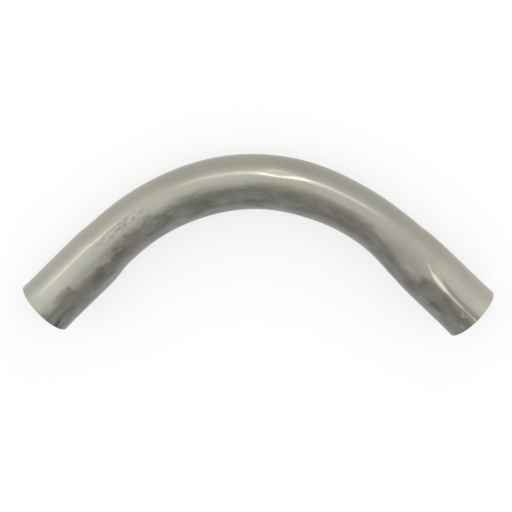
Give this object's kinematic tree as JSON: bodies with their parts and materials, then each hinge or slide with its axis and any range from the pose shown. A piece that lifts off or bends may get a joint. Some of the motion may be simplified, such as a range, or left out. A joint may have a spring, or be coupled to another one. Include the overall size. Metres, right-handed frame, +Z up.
{
  "type": "conduit elbow",
  "caption": "Quarter-turn elbow of thin-wall steel conduit with plain straight ends, which carries cables round a corner.",
  "frame": {"origin": "centre of the mouth of end A, on the tube's axis", "axes": "leg A runs along +X from the origin, the bend turns to the right and leg B runs along -Y; +Z is up, square to the plane of the bend, and the tube lies flat with its lowest line at z = -36.5 mm"},
  "size_m": [0.4027, 0.4183, 0.073],
  "materials": {
    "galvanised_steel": "bright zinc over cold-rolled steel, smooth, faintly streaked along the tube and clouded where the shoe rubbed it"
  },
  "bodies": {
    "root": {"elbow_tube": "galvanised_steel"}
  },
  "joints": []
}
